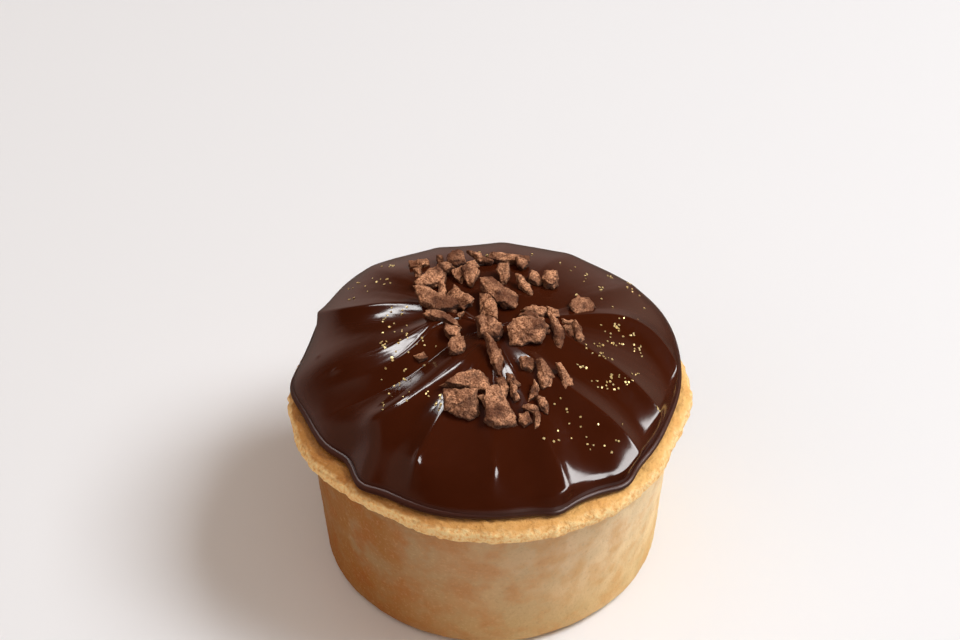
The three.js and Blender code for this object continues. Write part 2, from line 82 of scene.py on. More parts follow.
# Each fold's crest: angles in degrees at the four stations from middle to edge, then in mm its height,
# the widths of its flanks towards smaller and larger angles and how soft its top is, and last the share
# of the radius over which it sinks at the edge. A crease has a height below zero.
FOLDS = [
    ((10, 12, 4.5, -10), 2.1, 3.0, 3.2, 0.3, 0.06),
    ((20, 27, 34, 40), 0.9, 2.4, 2.4, 0.8, 0.15),
    ((58, 60, 61, 61), 0.7, 2.6, 2.6, 1.2, 0.15),
    ((84, 84, 85, 86), 0.6, 2.6, 2.6, 1.2, 0.15),
    ((110, 109, 108, 107), 0.6, 2.6, 2.6, 1.2, 0.15),
    ((134, 133, 132, 130), 0.7, 2.6, 2.6, 1.2, 0.15),
    ((150, 157.5, 159.3, 155), 1.6, 3.4, 2.6, 0.25, 0.04),
    ((179, 192.5, 187, 184), 2.9, 3.0, 8.0, 0.6, 0.8),
    ((189, 203, 196, 193), 2.9, 8.0, 2.6, 0.4, 0.8),
    ((212, 214, 207, 202), -0.5, 1.6, 1.6, 0.1, 0.5),
    ((240, 229.5, 221.5, 214.5), 2.3, 3.0, 2.2, 1.5, 0.2),
    ((258, 247.3, 245.2, 244.5), 1.8, 2.6, 2.2, 0.4, 0.15),
    ((272, 271, 270, 270), 0.8, 2.4, 2.2, 0.6, 0.15),
    ((290, 291, 292, 292.6), 1.2, 2.4, 2.4, 0.4, 0.05),
    ((311, 313.7, 317.2, 318), 2.2, 3.2, 4.2, 0.3, 0.03),
    ((354, 341, 336, 334), 2.3, 3.2, 4.2, 0.3, 0.06),
]

# Bulges and dents along the edge of the glaze: angle, depth in mm, half width in degrees.
SCALLOPS = [
    (-176, 1.4, 9),
    (-141, -1.0, 6),
    (-130, 0.9, 5),
    (-107, 0.35, 12),
    (-71, 0.9, 5),
    (-49, 1.3, 6),
    (-20, -0.4, 12),
    (32, 1.5, 24),
    (75, 0.8, 25),
    (120, 0.4, 20),
    (134, 1.9, 20),
    (163, -0.2, 8),
]

# Where the lip stands out more, written in the same way.
LIP_WAVES = [
    (-136, 0.45, 30),
    (-84, -0.28, 26),
    (-40, 0.3, 25),
]

# Small beads at the ends of folds and drips on the glaze: x, y, height, half width, half length in mm.
NUBS = [
    (-10.4, -22.3, 0.38, 0.4, 1.1),
    (0.4, -24.0, 0.32, 0.4, 0.8),
    (-25.3, 0.4, 0.14, 0.35, 0.35),
    (-22.4, -4.4, 0.2, 0.4, 0.6),
]

# Fine wrinkles of the glaze that run from the middle outwards, in mm.
WRINKLE_DEPTH = 0.02
WRINKLE_WIDTH = 1.1
WRINKLE_LENGTH = 6.0
WRINKLES_FADE_IN = (4, 12)        # distances from the middle between which they fade in, and out
WRINKLES_FADE_OUT = (27, 24)

# Bulges and dents along the pastry rim, written in the same way.
RIM_WAVES = [
    (-153, 0.4, 9),
    (-132, -0.7, 9),
    (-118, -0.7, 9),
    (-80, 0.4, 9),
    (-56, 0.25, 14),
    (-23, -1.0, 10),
    (20, -1.0, 16),
    (85, -0.9, 45),
    (160, -1.3, 18),
]

# Unevenness of the pastry: size of the lumps in mm, their height in mm everywhere and what the rim adds
# to it, the noise's seed and its octaves.
SHELL_LUMPS = [
    (12.0, 0.16, 0.0, 3, 1),
    (3.0, 0.07, 0.0, 5, 2),
    (0.9, 0.05, 0.2, 8, 2),
    (2.4, 0.0, 0.2, 31, 2),
]
PIT_SIZE = 0.8                    # mm
PIT_DEPTH = 0.18
PITS_ABOVE = 0.42                 # noise value from which a place is a pit

# Chocolate flakes: thickness, height of the middle above the dome, how far the face leans to the front
# and to the right in degrees, and the outline's corners in x and y as it shows from the front.
FLAKES = [
    (1.3, 0.6, 25, 5, ((-11.8, 17.3), (-9.4, 17.8), (-9.2, 15.8), (-10.2, 14.6), (-11.8, 15.2))),
    (1.0, 0.5, 30, 0, ((-11.2, 15.0), (-10.2, 15.0), (-10.3, 12.2), (-11.0, 12.2))),
    (0.9, 0.6, 30, 0, ((-7.7, 18.3), (-7.0, 18.5), (-6.9, 15.6), (-7.6, 15.4))),
    (1.8, 1.4, 30, 10,
     ((-6.1, 16.9), (-4.8, 18.0), (-3.8, 17.7), (-3.7, 14.0), (-5.0, 13.0), (-6.0, 13.7))),
    (1.6, 1.0, 25, 5, ((-7.9, 14.2), (-6.2, 14.8), (-5.4, 13.6), (-6.0, 11.8), (-7.2, 11.4), (-8.0, 12.6))),
    (1.8, 1.0, 20, 10,
     ((-10.9, 9.8), (-8.7, 13.1), (-7.6, 13.2), (-6.6, 12.0), (-7.0, 9.4), (-8.2, 8.2), (-10.6, 8.0))),
    (1.0, 0.6, 10, -10, ((-7.3, 11.8), (-6.3, 11.8), (-6.5, 9.2), (-6.4, 6.4), (-7.3, 5.6), (-7.5, 9.0))),
    (1.7, 1.2, 20, 5,
     ((-10.4, 8.0), (-8.5, 7.4), (-6.3, 5.3), (-4.8, 4.4), (-4.4, 2.8), (-5.4, 1.8), (-8.0, 2.4),
      (-9.8, 4.2))),
    (1.4, 0.8, 0, -30,
     ((-6.3, 7.0), (-4.8, 8.1), (-4.0, 6.4), (-2.5, 4.6), (-2.6, 3.4), (-3.9, 3.2), (-6.3, 5.6))),
    (1.2, 1.2, 25, 10,
     ((-3.4, 13.2), (-2.4, 13.4), (-1.6, 11.8), (-1.9, 10.1), (-2.6, 7.4), (-3.2, 8.4), (-4.0, 12.1))),
    (1.2, 0.6, 20, -25, ((-5.3, 13.0), (-3.8, 13.4), (-3.5, 11.6), (-4.2, 9.4), (-5.0, 10.6))),
    (1.3, 1.0, 25, 10,
     ((-2.9, 17.6), (-1.2, 17.6), (-1.1, 16.2), (0.5, 15.2), (0.4, 14.1), (-1.3, 14.3), (-2.2, 16.0))),
    (1.0, 0.6, 30, -20, ((-3.7, 15.4), (-2.0, 15.6), (-1.6, 13.6), (-3.2, 13.3))),
    (1.4, 0.9, 30, 0,
     ((0.3, 17.5), (2.2, 17.4), (5.8, 17.0), (5.7, 15.0), (4.4, 14.2), (1.2, 14.8), (0.3, 15.6))),
    (1.2, 0.8, 30, 10, ((4.0, 15.8), (5.9, 15.8), (5.8, 14.2), (5.0, 12.6), (4.3, 13.4))),
    (1.2, 1.0, 35, -10, ((1.6, 14.2), (2.8, 13.8), (3.0, 10.9), (2.5, 8.2), (2.0, 8.2), (1.2, 12.0))),
    (1.1, 0.7, 20, 20,
     ((3.9, 11.0), (4.7, 10.6), (5.9, 8.6), (6.4, 7.1), (5.8, 6.5), (4.9, 7.8), (4.1, 9.4))),
    (1.2, 0.7, 30, 10, ((6.3, 12.2), (6.9, 12.2), (7.7, 9.9), (7.1, 8.9), (5.9, 9.6))),
    (1.6, 1.0, 30, 0,
     ((8.3, 12.2), (9.8, 12.6), (10.2, 10.8), (10.0, 9.0), (9.4, 7.9), (8.5, 8.0), (8.0, 10.0))),
    (0.8, 0.4, 20, 0, ((8.7, 13.7), (9.5, 13.7), (9.6, 12.8), (8.8, 12.5))),
    (1.6, 1.3, 15, 15,
     ((-1.1, 8.0), (0.4, 8.6), (1.8, 7.4), (4.4, 5.3), (3.4, 3.1), (2.4, 2.6), (1.0, 3.8), (-0.9, 6.4))),
    (1.2, 1.0, 10, -40,
     ((-1.4, 5.8), (-0.2, 5.4), (0.6, 4.4), (1.2, 2.4), (1.1, 0.8), (-0.9, 1.2), (-1.6, 3.0))),
    (2.2, 1.2, 40, 0,
     ((-1.8, 0.6), (-0.8, 1.2), (0.6, 0.2), (1.7, -0.7), (2.0, -2.3), (1.2, -4.4), (-1.3, -3.8))),
    (1.2, 1.2, 10, 10,
     ((-9.4, 1.4), (-8.2, 2.2), (-6.9, 1.9), (-5.3, 0.8), (-4.3, -1.6), (-5.3, -1.2), (-6.4, 0.0),
      (-8.0, 0.3))),
    (1.6, 0.75, 20, 0, ((-6.4, 0.0), (-4.4, -1.2), (-4.4, -3.3), (-5.8, -3.4), (-6.4, -1.6))),
    (1.5, 0.9, 25, 10,
     ((-6.0, -5.0), (-5.4, -3.2), (-4.0, -3.2), (-3.7, -4.8), (-4.0, -6.4), (-5.1, -6.7), (-5.9, -6.2))),
    (1.2, 0.6, 10, 10, ((-4.8, 1.6), (-3.6, 2.4), (-4.3, 0.8))),
    (1.3, 0.95, 10, 25,
     ((-0.6, -3.8), (0.2, -4.4), (1.1, -6.0), (1.8, -7.6), (1.6, -10.2), (1.0, -10.0), (0.2, -8.0),
      (-0.3, -6.1))),
    (1.2, 1.0, 20, -5, ((4.7, 2.4), (6.3, 3.3), (7.9, 3.0), (8.2, 2.0), (7.7, 0.8), (5.8, 1.4))),
    (1.8, 1.2, 15, 10, ((4.4, 0.4), (5.4, 2.0), (6.6, 1.2), (7.9, 0.2), (8.1, -1.2), (6.4, -0.4))),
    (1.7, 1.5, 45, -5,
     ((2.9, -1.8), (3.8, -0.6), (5.4, 0.4), (7.4, -0.4), (8.0, -1.6), (7.4, -5.0), (5.6, -5.2),
      (4.2, -5.9), (3.2, -5.6))),
    (1.2, 1.0, 25, 10, ((8.3, 3.1), (9.8, 2.8), (10.0, 1.4), (9.1, 0.5), (8.4, 1.6))),
    (1.3, 0.8, 20, 25, ((8.6, 0.8), (9.4, 0.5), (10.6, -2.0), (10.7, -3.6), (10.1, -4.8), (9.4, -3.8))),
    (0.8, 0.5, 10, 0, ((7.8, -1.1), (8.6, -1.2), (8.7, -2.3), (7.9, -2.3))),
    (0.8, 0.6, 10, 0, ((10.6, 1.3), (12.2, 1.4), (12.3, 0.6), (10.8, 0.4))),
    (1.2, 1.0, 15, 25, ((12.0, 0.3), (12.9, -0.4), (13.6, -2.2), (13.4, -3.2), (12.6, -3.0), (12.1, -1.5))),
    (1.0, 0.5, 10, -25, ((10.6, 0.4), (12.2, 0.3), (12.4, -2.6), (11.2, -2.2))),
    (1.1, 0.8, 15, 5,
     ((11.9, 5.5), (12.9, 6.8), (14.4, 6.6), (15.5, 5.4), (14.9, 4.1), (12.8, 2.8), (12.0, 3.4))),
    (1.4, 1.1, 10, 10,
     ((-6.7, -12.3), (-5.0, -11.0), (-2.7, -9.6), (-1.6, -9.8), (-0.7, -10.8), (-0.6, -13.2),
      (-3.8, -13.2))),
    (1.9, 1.4, 45, 0,
     ((-6.3, -13.2), (-4.6, -13.0), (-2.2, -13.4), (-2.1, -17.6), (-3.2, -18.5), (-5.2, -16.8),
      (-6.7, -16.2))),
    (1.6, 1.2, 20, 15,
     ((-0.6, -13.6), (0.4, -12.4), (1.1, -12.7), (1.7, -14.2), (3.0, -16.6), (4.0, -19.2), (1.2, -19.5),
      (-0.6, -18.0))),
    (1.0, 0.4, 10, 0, ((-1.9, -13.6), (-1.0, -13.3), (-0.5, -14.5), (-0.8, -15.6))),
    (1.4, 0.8, 20, -30, ((1.0, -11.0), (1.8, -11.0), (2.5, -12.6), (2.2, -14.0), (1.4, -13.8))),
    (1.0, 0.7, 10, 20, ((2.4, -10.3), (3.1, -10.4), (4.2, -11.9), (3.6, -12.3), (2.6, -11.4))),
    (0.9, 0.8, 20, 20, ((2.9, -11.8), (3.6, -12.2), (4.2, -14.4), (3.5, -14.7), (2.9, -13.7))),
    (1.2, 0.7, 10, 10, ((4.2, -7.2), (5.1, -6.9), (6.2, -7.4), (6.4, -8.7), (5.8, -9.6), (4.7, -9.0))),
    (1.2, 0.9, 15, 20,
     ((6.6, -8.0), (7.4, -7.7), (8.4, -8.6), (9.1, -10.4), (8.6, -11.8), (7.5, -12.5), (7.0, -10.4))),
    (1.1, 0.8, 15, 20,
     ((9.0, -8.2), (9.8, -8.3), (11.4, -10.2), (12.0, -11.7), (11.3, -13.2), (10.6, -12.8),
      (10.0, -10.8))),
    (0.9, 0.8, 20, 25,
     ((5.6, -13.2), (6.2, -11.3), (6.8, -11.7), (6.9, -12.8), (6.2, -14.0), (5.5, -14.3))),
    (1.1, 0.6, 10, 15, ((6.6, -13.8), (7.5, -13.9), (8.2, -15.1), (8.0, -16.2), (7.0, -16.0))),
    (1.0, 0.9, 20, 0, ((4.5, -15.6), (5.4, -14.9), (6.4, -15.5), (6.9, -16.8), (6.0, -16.8))),
    (0.9, 0.8, 20, 20, ((6.0, -16.2), (6.9, -16.4), (6.9, -18.2), (6.1, -18.8))),
    (1.2, 0.5, 20, -20, ((4.0, -16.2), (5.2, -16.0), (5.7, -17.6), (4.8, -18.4), (4.0, -17.6))),
    (0.8, 0.2, 10, 0, ((-10.9, -5.4), (-9.6, -5.0), (-9.0, -6.0), (-10.2, -6.6))),
]
FLAKE_RAISED = 0.25               # mm by which all flakes stand higher than listed
FLAKE_VIEW = math.radians(43)     # height of the direction in which the outlines are told
FLAKE_SIDE_SHARE = 0.25           # share of a flake's thickness that its sides take of the outline
FLAKE_LEAST_DEPTH = 0.45          # least share of the outline's depth that is left for its face
FLAKE_SIZE = 1.12                 # size over outline, to make up for the broken edges
FLAKE_LEVELS = ((-0.5, 0.78), (-0.22, 1.0), (0.2, 0.98), (0.44, 0.8))   # height and size of its rings
FLAKE_UNEVEN = 0.1                # how unevenly its corners reach out, as a share
FLAKE_WAVY = 0.16                 # how unevenly they stand up, as a share of the thickness
FLAKE_FACES = (-0.55, 0.56)       # heights of the middles of its two faces
FLAKE_PEAK = 0.12                 # how far the upper one is off the middle, towards the first corner
FLAKE_STEPS_PER_MM = 2.4          # mesh steps around, per mm of the flake's size
FLAKE_STEPS_AROUND = (4, 12)      # least and most of them between two corners
FLAKE_STEPS_BETWEEN = 7           # mesh steps from one ring to the next
FLAKE_LUMPS = ((1.5, 0.22, 40), (0.6, 0.3, 44))   # size and height in mm, noise seed

# Gold specks: middle x and y of a patch, its half width and half depth in mm, count.
GOLD_PATCHES = [
    (-18.0, 14.5, 3.5, 4.0, 22),
    (-13.0, 4.6, 2.6, 1.2, 10),
    (-12.6, -1.0, 3.4, 3.0, 20),
    (-10.5, -8.5, 5.0, 6.0, 40),
    (-6.6, -14.5, 1.2, 1.6, 8),
    (17.6, -0.2, 1.8, 1.8, 18),
    (16.5, 2.6, 1.6, 1.0, 5),
    (19.6, 1.0, 1.2, 0.5, 4),
    (21.3, -1.6, 0.9, 1.8, 9),
    (14.7, -2.6, 1.2, 1.0, 7),
    (16.2, -5.2, 1.8, 0.8, 11),
    (13.0, -7.3, 0.9, 0.6, 4),
    (17.0, -9.2, 2.8, 1.3, 22),
    (20.3, -6.4, 1.0, 0.5, 4),
    (22.5, -11.0, 0.9, 0.4, 3),
    (14.5, -17.5, 4.0, 2.5, 14),
    (8.5, -19.5, 2.5, 1.0, 4),
    (9.5, -14.0, 1.5, 3.0, 4),
    (16.0, 11.0, 7.0, 6.0, 32),
    (3.0, 19.5, 8.0, 1.5, 6),
]
GOLD_SEED = 11
GOLD_SIZE = (0.11, 0.2)           # smallest and largest half width of a speck, in mm
GOLD_IN_CLUMPS = 0.35             # share of the specks that lie close to the one before
GOLD_CLUMP = 0.45                 # how close, in mm
GOLD_WITHIN = 26.5                # largest distance from the middle, in mm
GOLD_TILT = 0.35                  # how unevenly the specks lie
GOLD_LIFT = 0.05                  # mm above the glaze
SPECK_CORNERS = 6
SPECK_HALF_THICKNESS = 0.04       # mm
SPECK_REACH = (0.65, 1.25)        # least and most reach of a corner, as a share of the size

# ---- colours as on a screen, 0 to 255; pairs run from the tart's left to its right, from painted shade on the left to painted light on the right ----
WALL_COLOURS_SHADED_TO_LIT = ((166, 112, 56), (254, 226, 180))
WALL_SANDY_SHADED_TO_LIT = ((172, 144, 104), (226, 196, 150))
WALL_BROWN_SHADED_TO_LIT = ((168, 100, 42), (234, 186, 126))
WALL_FOOT_TINT = (1.0, 0.93, 0.72, 1)    # multiplies the wall's colour towards the foot
RIM_COLOURS_SHADED_TO_LIT = ((186, 128, 64), (250, 196, 118))
RIM_BROWN_SHADED_TO_LIT = ((188, 118, 52), (240, 172, 94))
RIM_EDGE = ((248, 180, 100), (255, 222, 158))      # from the hollows to the grains
PALE_GRAIN = (240, 200, 146)
DARK_GRAIN = (150, 92, 42)
GLAZE_COLOURS = ((56, 20, 6), (66, 25, 9))         # between which it clouds
FLAKE_GRAIN = ((104, 56, 30), (250, 182, 136))     # from the hollows to the dusty grains
FLAKE_BROWN = (90, 46, 25)
# painted shade for the hollows of the flakes' lumps
FLAKE_PAINTED_HOLLOW_SHADE = (56, 27, 13)
# painted shade for the flakes' sides, which face less upwards
FLAKE_PAINTED_SIDE_SHADE = (60, 29, 15)
GOLD_COLOURS = ((214, 176, 96), (246, 226, 170))
FLOOR_COLOUR = (0.84, 0.83, 0.825, 1.0)            # linear
FLOOR_HALF = 3.0                                   # metres

# ---- the room: linear colours ----
ROOM_BY_HEIGHT = [                # from straight below to straight above, the horizon at 0.5
    (0.0, (0.1, 0.08, 0.07, 1)),
    (0.3, (0.22, 0.17, 0.145, 1)),
    (0.42, (0.5, 0.36, 0.31, 1)),
    (0.5, (0.62, 0.42, 0.36, 1)),
    (0.58, (0.5, 0.34, 0.28, 1)),
    (0.68, (0.05, 0.037, 0.024, 1)),
    (1.0, (0.034, 0.025, 0.015, 1)),
]
BRIGHT_WAY = (-0.62, 0.78, 0)     # direction in which the room keeps that brightness
DIM_SHARE = (0.3, 0.22, 0.17, 1)  # what the other directions keep of it
GLOWS = [                         # direction, how narrow its beginning and its full strength are, colour
    ((-0.92, -0.25, 0.31), 0.83, 0.95, (0.36, 0.26, 0.2, 1)),
    ((0.6, 0.77, 0.2), 0.86, 0.98, (0.45, 0.32, 0.25, 1)),
]

# Rectangular lights: name, azimuth and elevation in degrees, distance, width and height in metres,
# radiance, colour, and whether the light shows in the gloss alone or lights the rest alone.
LIGHTS = [
    ("key", 3, 52, 1.0, 0.47, 0.47, 13.7, (0.95, 1.0, 1.06), "rest"),
    ("fill", 235, 64, 2.0, 3.0, 3.0, 0.96, (1.0, 0.88, 0.79), "rest"),
    ("window", -28, 24, 1.4, 1.9, 0.46, 15.5, (1.0, 1.0, 1.0), "gloss"),
    ("lamp", 120, 62, 1.4, 0.45, 0.22, 22.0, (1.0, 1.0, 1.0), "gloss"),
    ("low_lamp", 126, 46, 1.4, 0.16, 0.3, 20.0, (1.0, 1.0, 1.0), "gloss"),
]
LIGHTS_AIM = (0, 0, 0.03)         # metres

# ---- camera ----
CAMERA_PLACE = (-1.4, -271.0, 294.0)   # mm
CAMERA_PITCH = 42.83                   # degrees below the horizon
CAMERA_ROLL = -0.43
CAMERA_LENS = 95.8


def make_camera():
    """The camera of the photograph's view."""
    data = bpy.data.cameras.new("camera")
    data.lens = CAMERA_LENS
    data.sensor_width = 36.0
    data.clip_start = 0.01
    data.clip_end = 20.0
    camera = bpy.data.objects.new("camera", data)
    bpy.context.scene.collection.objects.link(camera)
    turn = Matrix.Rotation(math.radians(90 - CAMERA_PITCH), 4, "X")
    roll = Matrix.Rotation(math.radians(CAMERA_ROLL), 4, "Z")
    camera.matrix_world = Matrix.Translation(Vector(CAMERA_PLACE) * MM) @ turn @ roll
    bpy.context.scene.camera = camera


# ---- numbers shared by the shapes ----
def wrapped(degrees):
    """The same angle between -180 and 180 degrees."""
    return (np.asarray(degrees, float) + 180) % 360 - 180


def waves(entries, degrees):
    """Sum of smooth bulges and dents, told as angle, depth and half width, at some angles."""
    total = np.zeros_like(np.asarray(degrees, float))
    for centre, depth, width in entries:
        total = total + depth * np.exp(-((wrapped(degrees - centre) / width) ** 2))
    return total


def smoothstep(value, low, high):
    """A smooth rise from 0 at low to 1 at high; it falls where low is the larger one."""
    t = np.clip((value - low) / (high - low), 0, 1)
    return t * t * (3 - 2 * t)


def scatter(a, b):
    """A repeatable number from -1 to 1 for a pair of whole numbers."""
    value = np.sin(a * 12.9898 + b * 78.233) * 43758.5453
    return 2 * (value - np.floor(value)) - 1


def lattice(x, y, z, seed):
    """A repeatable number from -1 to 1 for each point of a whole-numbered grid."""
    h = (
        x.astype(np.uint32) * np.uint32(374761393)
        + y.astype(np.uint32) * np.uint32(668265263)
        + z.astype(np.uint32) * np.uint32(2246822519)
        + np.uint32(seed * 7919 + 17)
    )
    h = (h ^ (h >> np.uint32(13))) * np.uint32(1274126177)
    h = h ^ (h >> np.uint32(16))
    return h / 2.0**31 - 1


def noise(points, size, seed, octaves=1):
    """Smooth noise from -1 to 1 at points in mm, with lumps about size mm across."""
    total = np.zeros(len(points))
    weight_sum = 0.0
    for octave in range(octaves):
        weight = 0.5**octave
        p = points / (size / 2**octave) + 37.7 * octave
        cell = np.floor(p).astype(np.int64)
        t = p - cell
        t = t * t * t * (t * (t * 6 - 15) + 10)
        value = 0
        for dx in (0, 1):
            for dy in (0, 1):
                for dz in (0, 1):
                    corner = lattice(cell[:, 0] + dx, cell[:, 1] + dy, cell[:, 2] + dz, seed + octave)
                    share = (
                        (t[:, 0] if dx else 1 - t[:, 0])
                        * (t[:, 1] if dy else 1 - t[:, 1])
                        * (t[:, 2] if dz else 1 - t[:, 2])
                    )
                    value = value + corner * share
        total += weight * value
        weight_sum += weight
    return total / weight_sum


def mesh_of_rings(name, start, rings, end):
    """A closed mesh from rings of points (rows, columns, 3) between two points, in mm."""
    rows, columns = rings.shape[:2]
    points = np.concatenate([[start], rings.reshape(-1, 3), [end]]) * MM
    column = np.arange(columns)
    after = (column + 1) % columns
    row = np.arange(rows - 1)[:, None] * columns + 1
    quads = np.stack([row + column, row + after, row + columns + after, row + columns + column], -1)
    last = 1 + (rows - 1) * columns
    first_fan = np.stack([np.zeros_like(column), 1 + after, 1 + column], -1)
    last_fan = np.stack([last + column, last + after, np.full_like(column, len(points) - 1)], -1)
    faces = quads.reshape(-1, 4).tolist() + first_fan.tolist() + last_fan.tolist()
    mesh = bpy.data.meshes.new(name)
    mesh.from_pydata(points.tolist(), [], faces)
    mesh.validate()
    mesh.shade_smooth()
    return mesh


def ring_normals(rings):
    """Outward directions of a grid of rings that run from the base's middle round the outside."""
    along = np.gradient(rings, axis=0)
    around = np.roll(rings, -1, axis=1) - np.roll(rings, 1, axis=1)
    normal = np.cross(around, along)
    return normal / np.maximum(np.linalg.norm(normal, axis=-1, keepdims=True), 1e-9)


def add_piece(name, mesh, material, slot, *replaced):
    """Make an object of the mesh, part of the one body, in place of the solids that it replaces."""
    piece = bpy.data.objects.new(name, mesh)
    bpy.context.scene.collection.objects.link(piece)
    mesh.materials.append(material)
    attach(piece, "root")
    if replaced:
        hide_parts(*replaced)


# ---- materials ----
def node_maker(material):
    """A function that adds a node with its inputs, which are values or other nodes' outputs."""
    tree = material.node_tree

    def add(kind, inputs=None, **settings):
        node = tree.nodes.new(kind)
        for key, value in settings.items():
            setattr(node, key, value)
        for key, value in (inputs or {}).items():
            if isinstance(value, bpy.types.NodeSocket):
                tree.links.new(value, node.inputs[key])
            else:
                node.inputs[key].default_value = value
        return node

    return add


def new_material(name):
    """An empty material and its node maker."""
    material = bpy.data.materials.new(name)
    material.use_nodes = True
    material.node_tree.nodes.clear()
    return material, node_maker(material)


def linear(red, green, blue):
    """Linear colour for a colour given as 0 to 255 on a screen."""

    def channel(value):
        v = value / 255
        return v / 12.92 if v <= 0.04045 else ((v + 0.055) / 1.055) ** 2.4

    return channel(red), channel(green), channel(blue), 1.0


def noise_node(add, place, size_mm, detail=2.0, roughness=0.5):
    """Noise with lumps of a size."""
    return add(
        "ShaderNodeTexNoise",
        {"Vector": place, "Scale": 1 / (size_mm * MM), "Detail": detail, "Roughness": roughness},
    ).outputs["Fac"]


def ramp(add, value, *stops):
    """Colours by value, from stops of a position and a colour."""
    node = add("ShaderNodeValToRGB", {"Fac": value})
    elements = node.color_ramp.elements
    while len(elements) < len(stops):
        elements.new(0.5)
    for element, (position, colour) in zip(elements, stops):
        element.position = position
        element.color = colour
    return node.outputs["Color"]


def grey(value):
    return (value, value, value, 1.0)


def mask(add, value, start, end, low=0.0, high=1.0):
    """A grey that goes from low at one value to high at another."""
    return ramp(add, value, (start, grey(low)), (end, grey(high)))


def map_range(add, value, start, end, low=0.0, high=1.0):
    """A number that goes straight from low at one value to high at another, and stays there."""
    inputs = {"Value": value, "From Min": start, "From Max": end, "To Min": low, "To Max": high}
    return add("ShaderNodeMapRange", inputs).outputs[0]


def mix(add, factor, first, second, blend="MIX"):
    """The first colour where the factor is 0 and the second where it is 1."""
    node = add("ShaderNodeMix", {}, data_type="RGBA", blend_type=blend)
    tree = node.id_data
    for key, value in (("Factor_Float", factor), ("A_Color", first), ("B_Color", second)):
        socket = next(s for s in node.inputs if s.identifier == key)
        if isinstance(value, bpy.types.NodeSocket):
            tree.links.new(value, socket)
        else:
            socket.default_value = value
    return next(s for s in node.outputs if s.identifier == "Result_Color")


def between(add, factor, pair):
    """A mix of a pair of screen colours."""
    return mix(add, factor, linear(*pair[0]), linear(*pair[1]))


def finish_material(add, colour, roughness, normal=None, **constants):
    """Add the surface; the constants are inputs of its shader, written with underscores."""
    shader = add("ShaderNodeBsdfPrincipled", {"Base Color": colour, "Roughness": roughness})
    for key, value in constants.items():
        shader.inputs[key.replace("_", " ")].default_value = value
    if normal is not None:
        shader.id_data.links.new(normal, shader.inputs["Normal"])
    add("ShaderNodeOutputMaterial", {"Surface": shader.outputs[0]})


def bump(add, height, distance_mm, strength=1.0, normal=None):
    """A normal from heights, on top of another bump where one is given."""
    inputs = {"Height": height, "Distance": distance_mm * MM, "Strength": strength}
    if normal is not None:
        inputs["Normal"] = normal
    return add("ShaderNodeBump", inputs).outputs["Normal"]


def pastry_material():
    """Baked brown to sandy wall, with painted shade to the left and painted light to the right; golden rim
    with a cream, crumbly outer edge.
    """
    material, add = new_material("pastry")
    coordinates = add("ShaderNodeTexCoord").outputs
    place = coordinates["Object"]
    across = add("ShaderNodeSeparateXYZ", {"Vector": place}).outputs
    facing = add("ShaderNodeSeparateXYZ", {"Vector": coordinates["Normal"]}).outputs["Z"]
    broad = noise_node(add, place, 9.0, 3.0, 0.55)
    blotches = noise_node(add, place, 4.0, 4.0, 0.6)
    grain = noise_node(add, place, 0.5, 3.0, 0.6)
    # painted light: the colours below grow paler from the tart's left to its right, with painted shade on
    # the left
    to_right = map_range(add, across["X"], -16 * MM, 26 * MM)
    on_rim = map_range(add, across["Z"], (UNDER_RIM - 0.2) * MM, (UNDER_RIM + 0.3) * MM)
    low = map_range(add, across["Z"], 18 * MM, 4 * MM)
    crumb = map_range(add, facing, 0.9, 0.5)
    wall = between(add, to_right, WALL_COLOURS_SHADED_TO_LIT)
    wall = mix(add, mask(add, broad, 0.42, 0.6, 0, 0.7), wall, between(add, to_right, WALL_SANDY_SHADED_TO_LIT))
    wall = mix(add, mask(add, blotches, 0.46, 0.66, 0, 0.75), wall, between(add, to_right, WALL_BROWN_SHADED_TO_LIT))
    wall = mix(add, low, wall, WALL_FOOT_TINT, "MULTIPLY")
    # the rim's top gets the same painted shade on the left and painted light on the right
    top = between(add, to_right, RIM_COLOURS_SHADED_TO_LIT)
    top = mix(add, mask(add, blotches, 0.4, 0.7, 0, 0.6), top, between(add, to_right, RIM_BROWN_SHADED_TO_LIT))
    edge = between(add, mask(add, grain, 0.3, 0.6), RIM_EDGE)
    colour = mix(add, on_rim, wall, mix(add, crumb, top, edge))
    colour = mix(add, mask(add, grain, 0.54, 0.8, 0, 0.3), colour, linear(*PALE_GRAIN))
    colour = mix(add, mask(add, grain, 0.28, 0.44, 0.22, 0), colour, linear(*DARK_GRAIN))
    crisp = map_range(add, on_rim, 0, 1, 0.4, 1)
    fine = bump(add, grain, 0.32, crisp)
    normal = bump(add, blotches, 0.25, 0.4, fine)
    finish_material(add, colour, 0.82, normal, Specular_IOR_Level=0.25)
    return material


def glaze_material():
    """Dark, wet-looking chocolate; its lip is duller."""
    material, add = new_material("glaze")
    place = add("ShaderNodeTexCoord").outputs["Object"]
    height = add("ShaderNodeSeparateXYZ", {"Vector": place}).outputs["Z"]
    soft = noise_node(add, place, 6.0, 2.0, 0.5)
    ripple = noise_node(add, place, 1.2, 1.0, 0.5)
    colour = between(add, soft, GLAZE_COLOURS)
    roughness = mask(add, soft, 0.3, 0.7, 0.1, 0.16)
    lip = map_range(add, height, (RIM_TOP + 2.3) * MM, (RIM_TOP + 1.7) * MM)
    roughness = mix(add, lip, roughness, grey(0.42))
    normal = bump(add, ripple, 0.02, 0.4, bump(add, soft, 0.2, 0.4))
    finish_material(add, colour, roughness, normal, IOR=1.45)
    return material


